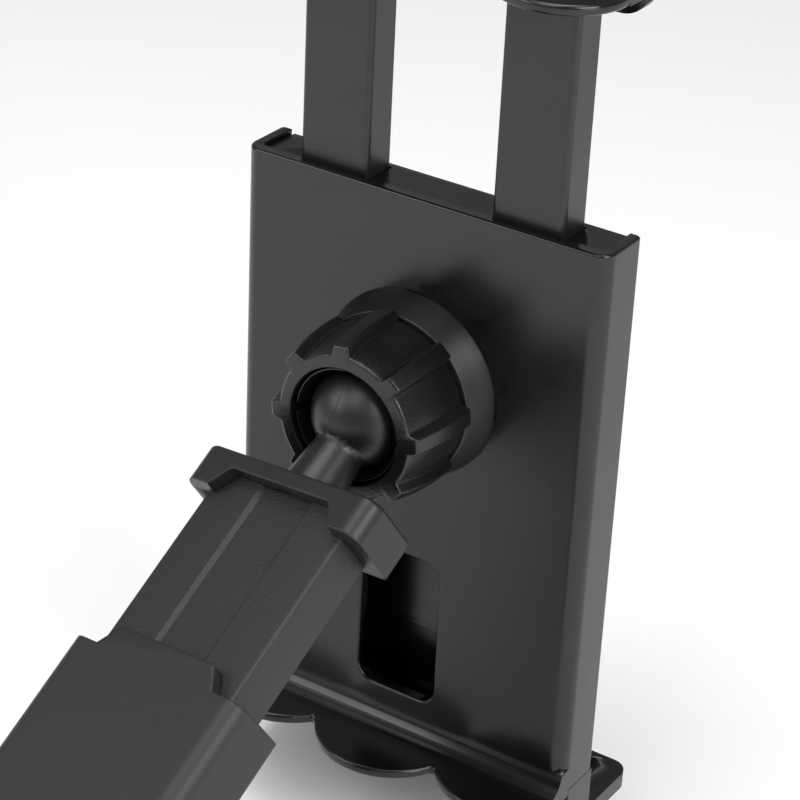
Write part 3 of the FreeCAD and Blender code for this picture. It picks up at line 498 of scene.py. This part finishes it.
class HOLDER_OT_joint(bpy.types.Operator):
    """Finishes ball, neck, socket and friction cup, and builds the ball's parting line."""
    bl_idname = "holder.joint"
    bl_label = "Ball joint"

    def execute(self, context):
        colours = context.scene.holder_colours
        sizes = context.scene.holder_sizes
        acetal = sparked_abs("ball_fine_acetal", colours.ball, gloss=0.36, grain=0.14 * MM, depth=0.012 * MM,
                             edge=0.0)
        settle(welded("ball_stud"), "ball_stud", acetal)
        for name, side in (("ball_seam_upper", 1), ("ball_seam_lower", -1)):
            points, faces = seam_surface(side, sizes.seam_width / MM, sizes.seam_height / MM)
            seam = meshed(name, on_arm(points), faces, ROUND_SHARP)
            seam.data.materials.append(acetal)
            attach(seam, frame["nodes"]["ball_stud"]["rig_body"])
        socket = moulded_abs_satin("socket_satin_abs", colours.casing, gloss=0.36)
        settle(welded("ball_socket"), "ball_socket", socket)
        give("friction_cup", soft_rubber("cup_rubber", colours.rubber))
        return {"FINISHED"}


class HOLDER_OT_nut(bpy.types.Operator):
    """Builds the locking nut with its crowned ribs and rolled edges."""
    bl_idname = "holder.nut"
    bl_label = "Locking nut"

    def execute(self, context):
        sizes = context.scene.holder_sizes
        points, faces = nut_surface(sizes.nut_crown / MM, sizes.nut_edge / MM)
        nylon = sparked_abs("nut_sparked_nylon", context.scene.holder_colours.nut, gloss=0.28,
                            grain=0.25 * MM, depth=0.03 * MM)
        settle(meshed("lock_nut_skin", points, faces, ROUND_SHARP), "lock_nut", nylon)
        return {"FINISHED"}


class HOLDER_OT_arm(bpy.types.Operator):
    """Finishes the sleeve, its plug, the end cap and the guide shoe, and builds the sliding bar."""
    bl_idname = "holder.arm"
    bl_label = "Arm"

    def execute(self, context):
        colours = context.scene.holder_colours
        sizes = context.scene.holder_sizes
        sleeve = sparked_abs("sleeve_sparked_abs", colours.arm, gloss=0.48, grain=sizes.grain,
                             depth=0.02 * MM, edge=0.6 * MM)
        bar = sparked_abs("bar_grained_abs", colours.arm, gloss=0.48, grain=sizes.bar_grain,
                          depth=0.045 * MM)
        cap = moulded_abs_satin("cap_satin_abs", colours.arm, gloss=0.4, edge=0.6 * MM)
        for node in ("outer_sleeve", "sleeve_plug", "bar_shoe"):
            settle(welded(node), node, sleeve)
        settle(welded("arm_cap"), "arm_cap", cap)
        points, faces = bar_surface(sizes.band_depth / MM)
        settle(meshed("inner_bar_skin", on_arm(points), faces, FLAT_SHARP), "inner_bar", bar)
        return {"FINISHED"}


class HOLDER_OT_fittings(bpy.types.Operator):
    """Finishes the pads, screws, pins and springs."""
    bl_idname = "holder.fittings"
    bl_label = "Fittings"

    def execute(self, context):
        colours = context.scene.holder_colours
        rubber = soft_rubber("pad_silicone", colours.rubber)
        for node in ("seat_pad", "lower_jaw_pad", "upper_jaw_pad"):
            give(node, rubber)
        screws = drawn_steel("screw_blackened_steel", colours.steel, gloss=0.35)
        for node in frame["nodes"]:
            if node.endswith(("_screws", "_pins")):
                give(node, screws)
        wire = drawn_steel("spring_drawn_wire", colours.wire, gloss=0.3)
        for node in ("spring_right", "spring_left"):
            coil = settle(welded(node), node, wire)
            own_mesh(coil)
        return {"FINISHED"}


class HOLDER_OT_stage(bpy.types.Operator):
    """Builds the floor, the soft lights and the camera."""
    bl_idname = "holder.stage"
    bl_label = "Stage"

    def execute(self, context):
        scene = context.scene
        scene.view_settings.view_transform = "Standard"
        self.lay_floor(scene, min(corner[2] for corner in cad_box) - scene.holder_sizes.floor_drop)
        self.light_world(scene)
        for name, place, size, power in LAMPS:
            self.hang_lamp(scene, name, place, size, power)
        self.place_camera(scene)
        return {"FINISHED"}

    def lay_floor(self, scene, level):
        """Square of white paper at the level, dull and pale, that takes the shadow."""
        half = FLOOR_HALF
        corners = [(-half, -half, level), (half, -half, level), (half, half, level), (-half, half, level)]
        mesh = bpy.data.meshes.new("floor")
        mesh.from_pydata(corners, [], [(0, 1, 2, 3)])
        floor = bpy.data.objects.new("floor", mesh)
        scene.collection.objects.link(floor)
        material, tree, output = new_material("floor_white_paper")
        paper = add(tree, "ShaderNodeBsdfDiffuse", {"Color": scene.holder_colours.floor})
        tree.links.new(paper.outputs[0], output.inputs["Surface"])
        mesh.materials.append(material)

    def light_world(self, scene):
        """Plain white light from all round."""
        world = bpy.data.worlds.new("studio")
        scene.world = world
        world.use_nodes = True
        tree = world.node_tree
        tree.nodes.clear()
        pale = add(tree, "ShaderNodeBackground", {"Color": (1, 1, 1, 1), "Strength": WORLD_STRENGTH})
        output = add(tree, "ShaderNodeOutputWorld")
        tree.links.new(pale.outputs[0], output.inputs["Surface"])

    def hang_lamp(self, scene, name, place, size, power):
        """Square soft lamp aimed at the ball."""
        light = bpy.data.lights.new(name, "AREA")
        light.size = size
        light.energy = power
        lamp = bpy.data.objects.new(name, light)
        lamp.visible_camera = False
        aim = Vector(BALL_CENTRE) * MM - Vector(place)
        lamp.matrix_world = Matrix.Translation(place) @ aim.to_track_quat("-Z", "Y").to_matrix().to_4x4()
        scene.collection.objects.link(lamp)

    def place_camera(self, scene):
        """Camera at the photograph's angle, as fitted to the body's and the arm's edges."""
        camera = bpy.data.cameras.new("photo_camera")
        camera.lens = LENS
        camera.sensor_width = SENSOR
        camera.clip_end = FAR_CLIP
        eye = bpy.data.objects.new("photo_camera", camera)
        turn = Euler([radians(angle) for angle in CAMERA_TURN])
        eye.matrix_world = Matrix.LocRotScale(Vector(CAMERA_PLACE), turn, None)
        scene.collection.objects.link(eye)
        scene.camera = eye


class HOLDER_PT_panel(bpy.types.Panel):
    """Sizes, colours and steps of the holder."""
    bl_label = "Clamp holder"
    bl_idname = "HOLDER_PT_panel"
    bl_space_type = "VIEW_3D"
    bl_region_type = "UI"
    bl_category = "Holder"

    def draw(self, context):
        for settings in (context.scene.holder_colours, context.scene.holder_sizes):
            for key in settings.__annotations__:
                self.layout.prop(settings, key)
        for step in STEPS:
            self.layout.operator(step.bl_idname)


STEPS = (HOLDER_OT_stage, HOLDER_OT_casing, HOLDER_OT_rails, HOLDER_OT_joint, HOLDER_OT_nut,
         HOLDER_OT_arm, HOLDER_OT_fittings)
CLASSES = (HolderColours, HolderSizes, *STEPS, HOLDER_PT_panel)


def register():
    for each in CLASSES:
        bpy.utils.register_class(each)
    bpy.types.Scene.holder_colours = PointerProperty(type=HolderColours)
    bpy.types.Scene.holder_sizes = PointerProperty(type=HolderSizes)


def unregister():
    del bpy.types.Scene.holder_sizes
    del bpy.types.Scene.holder_colours
    for each in reversed(CLASSES):
        bpy.utils.unregister_class(each)


def main():
    register()
    for step in STEPS:
        group, name = step.bl_idname.split(".")
        getattr(getattr(bpy.ops, group), name)()


if __name__ == "__main__":
    main()
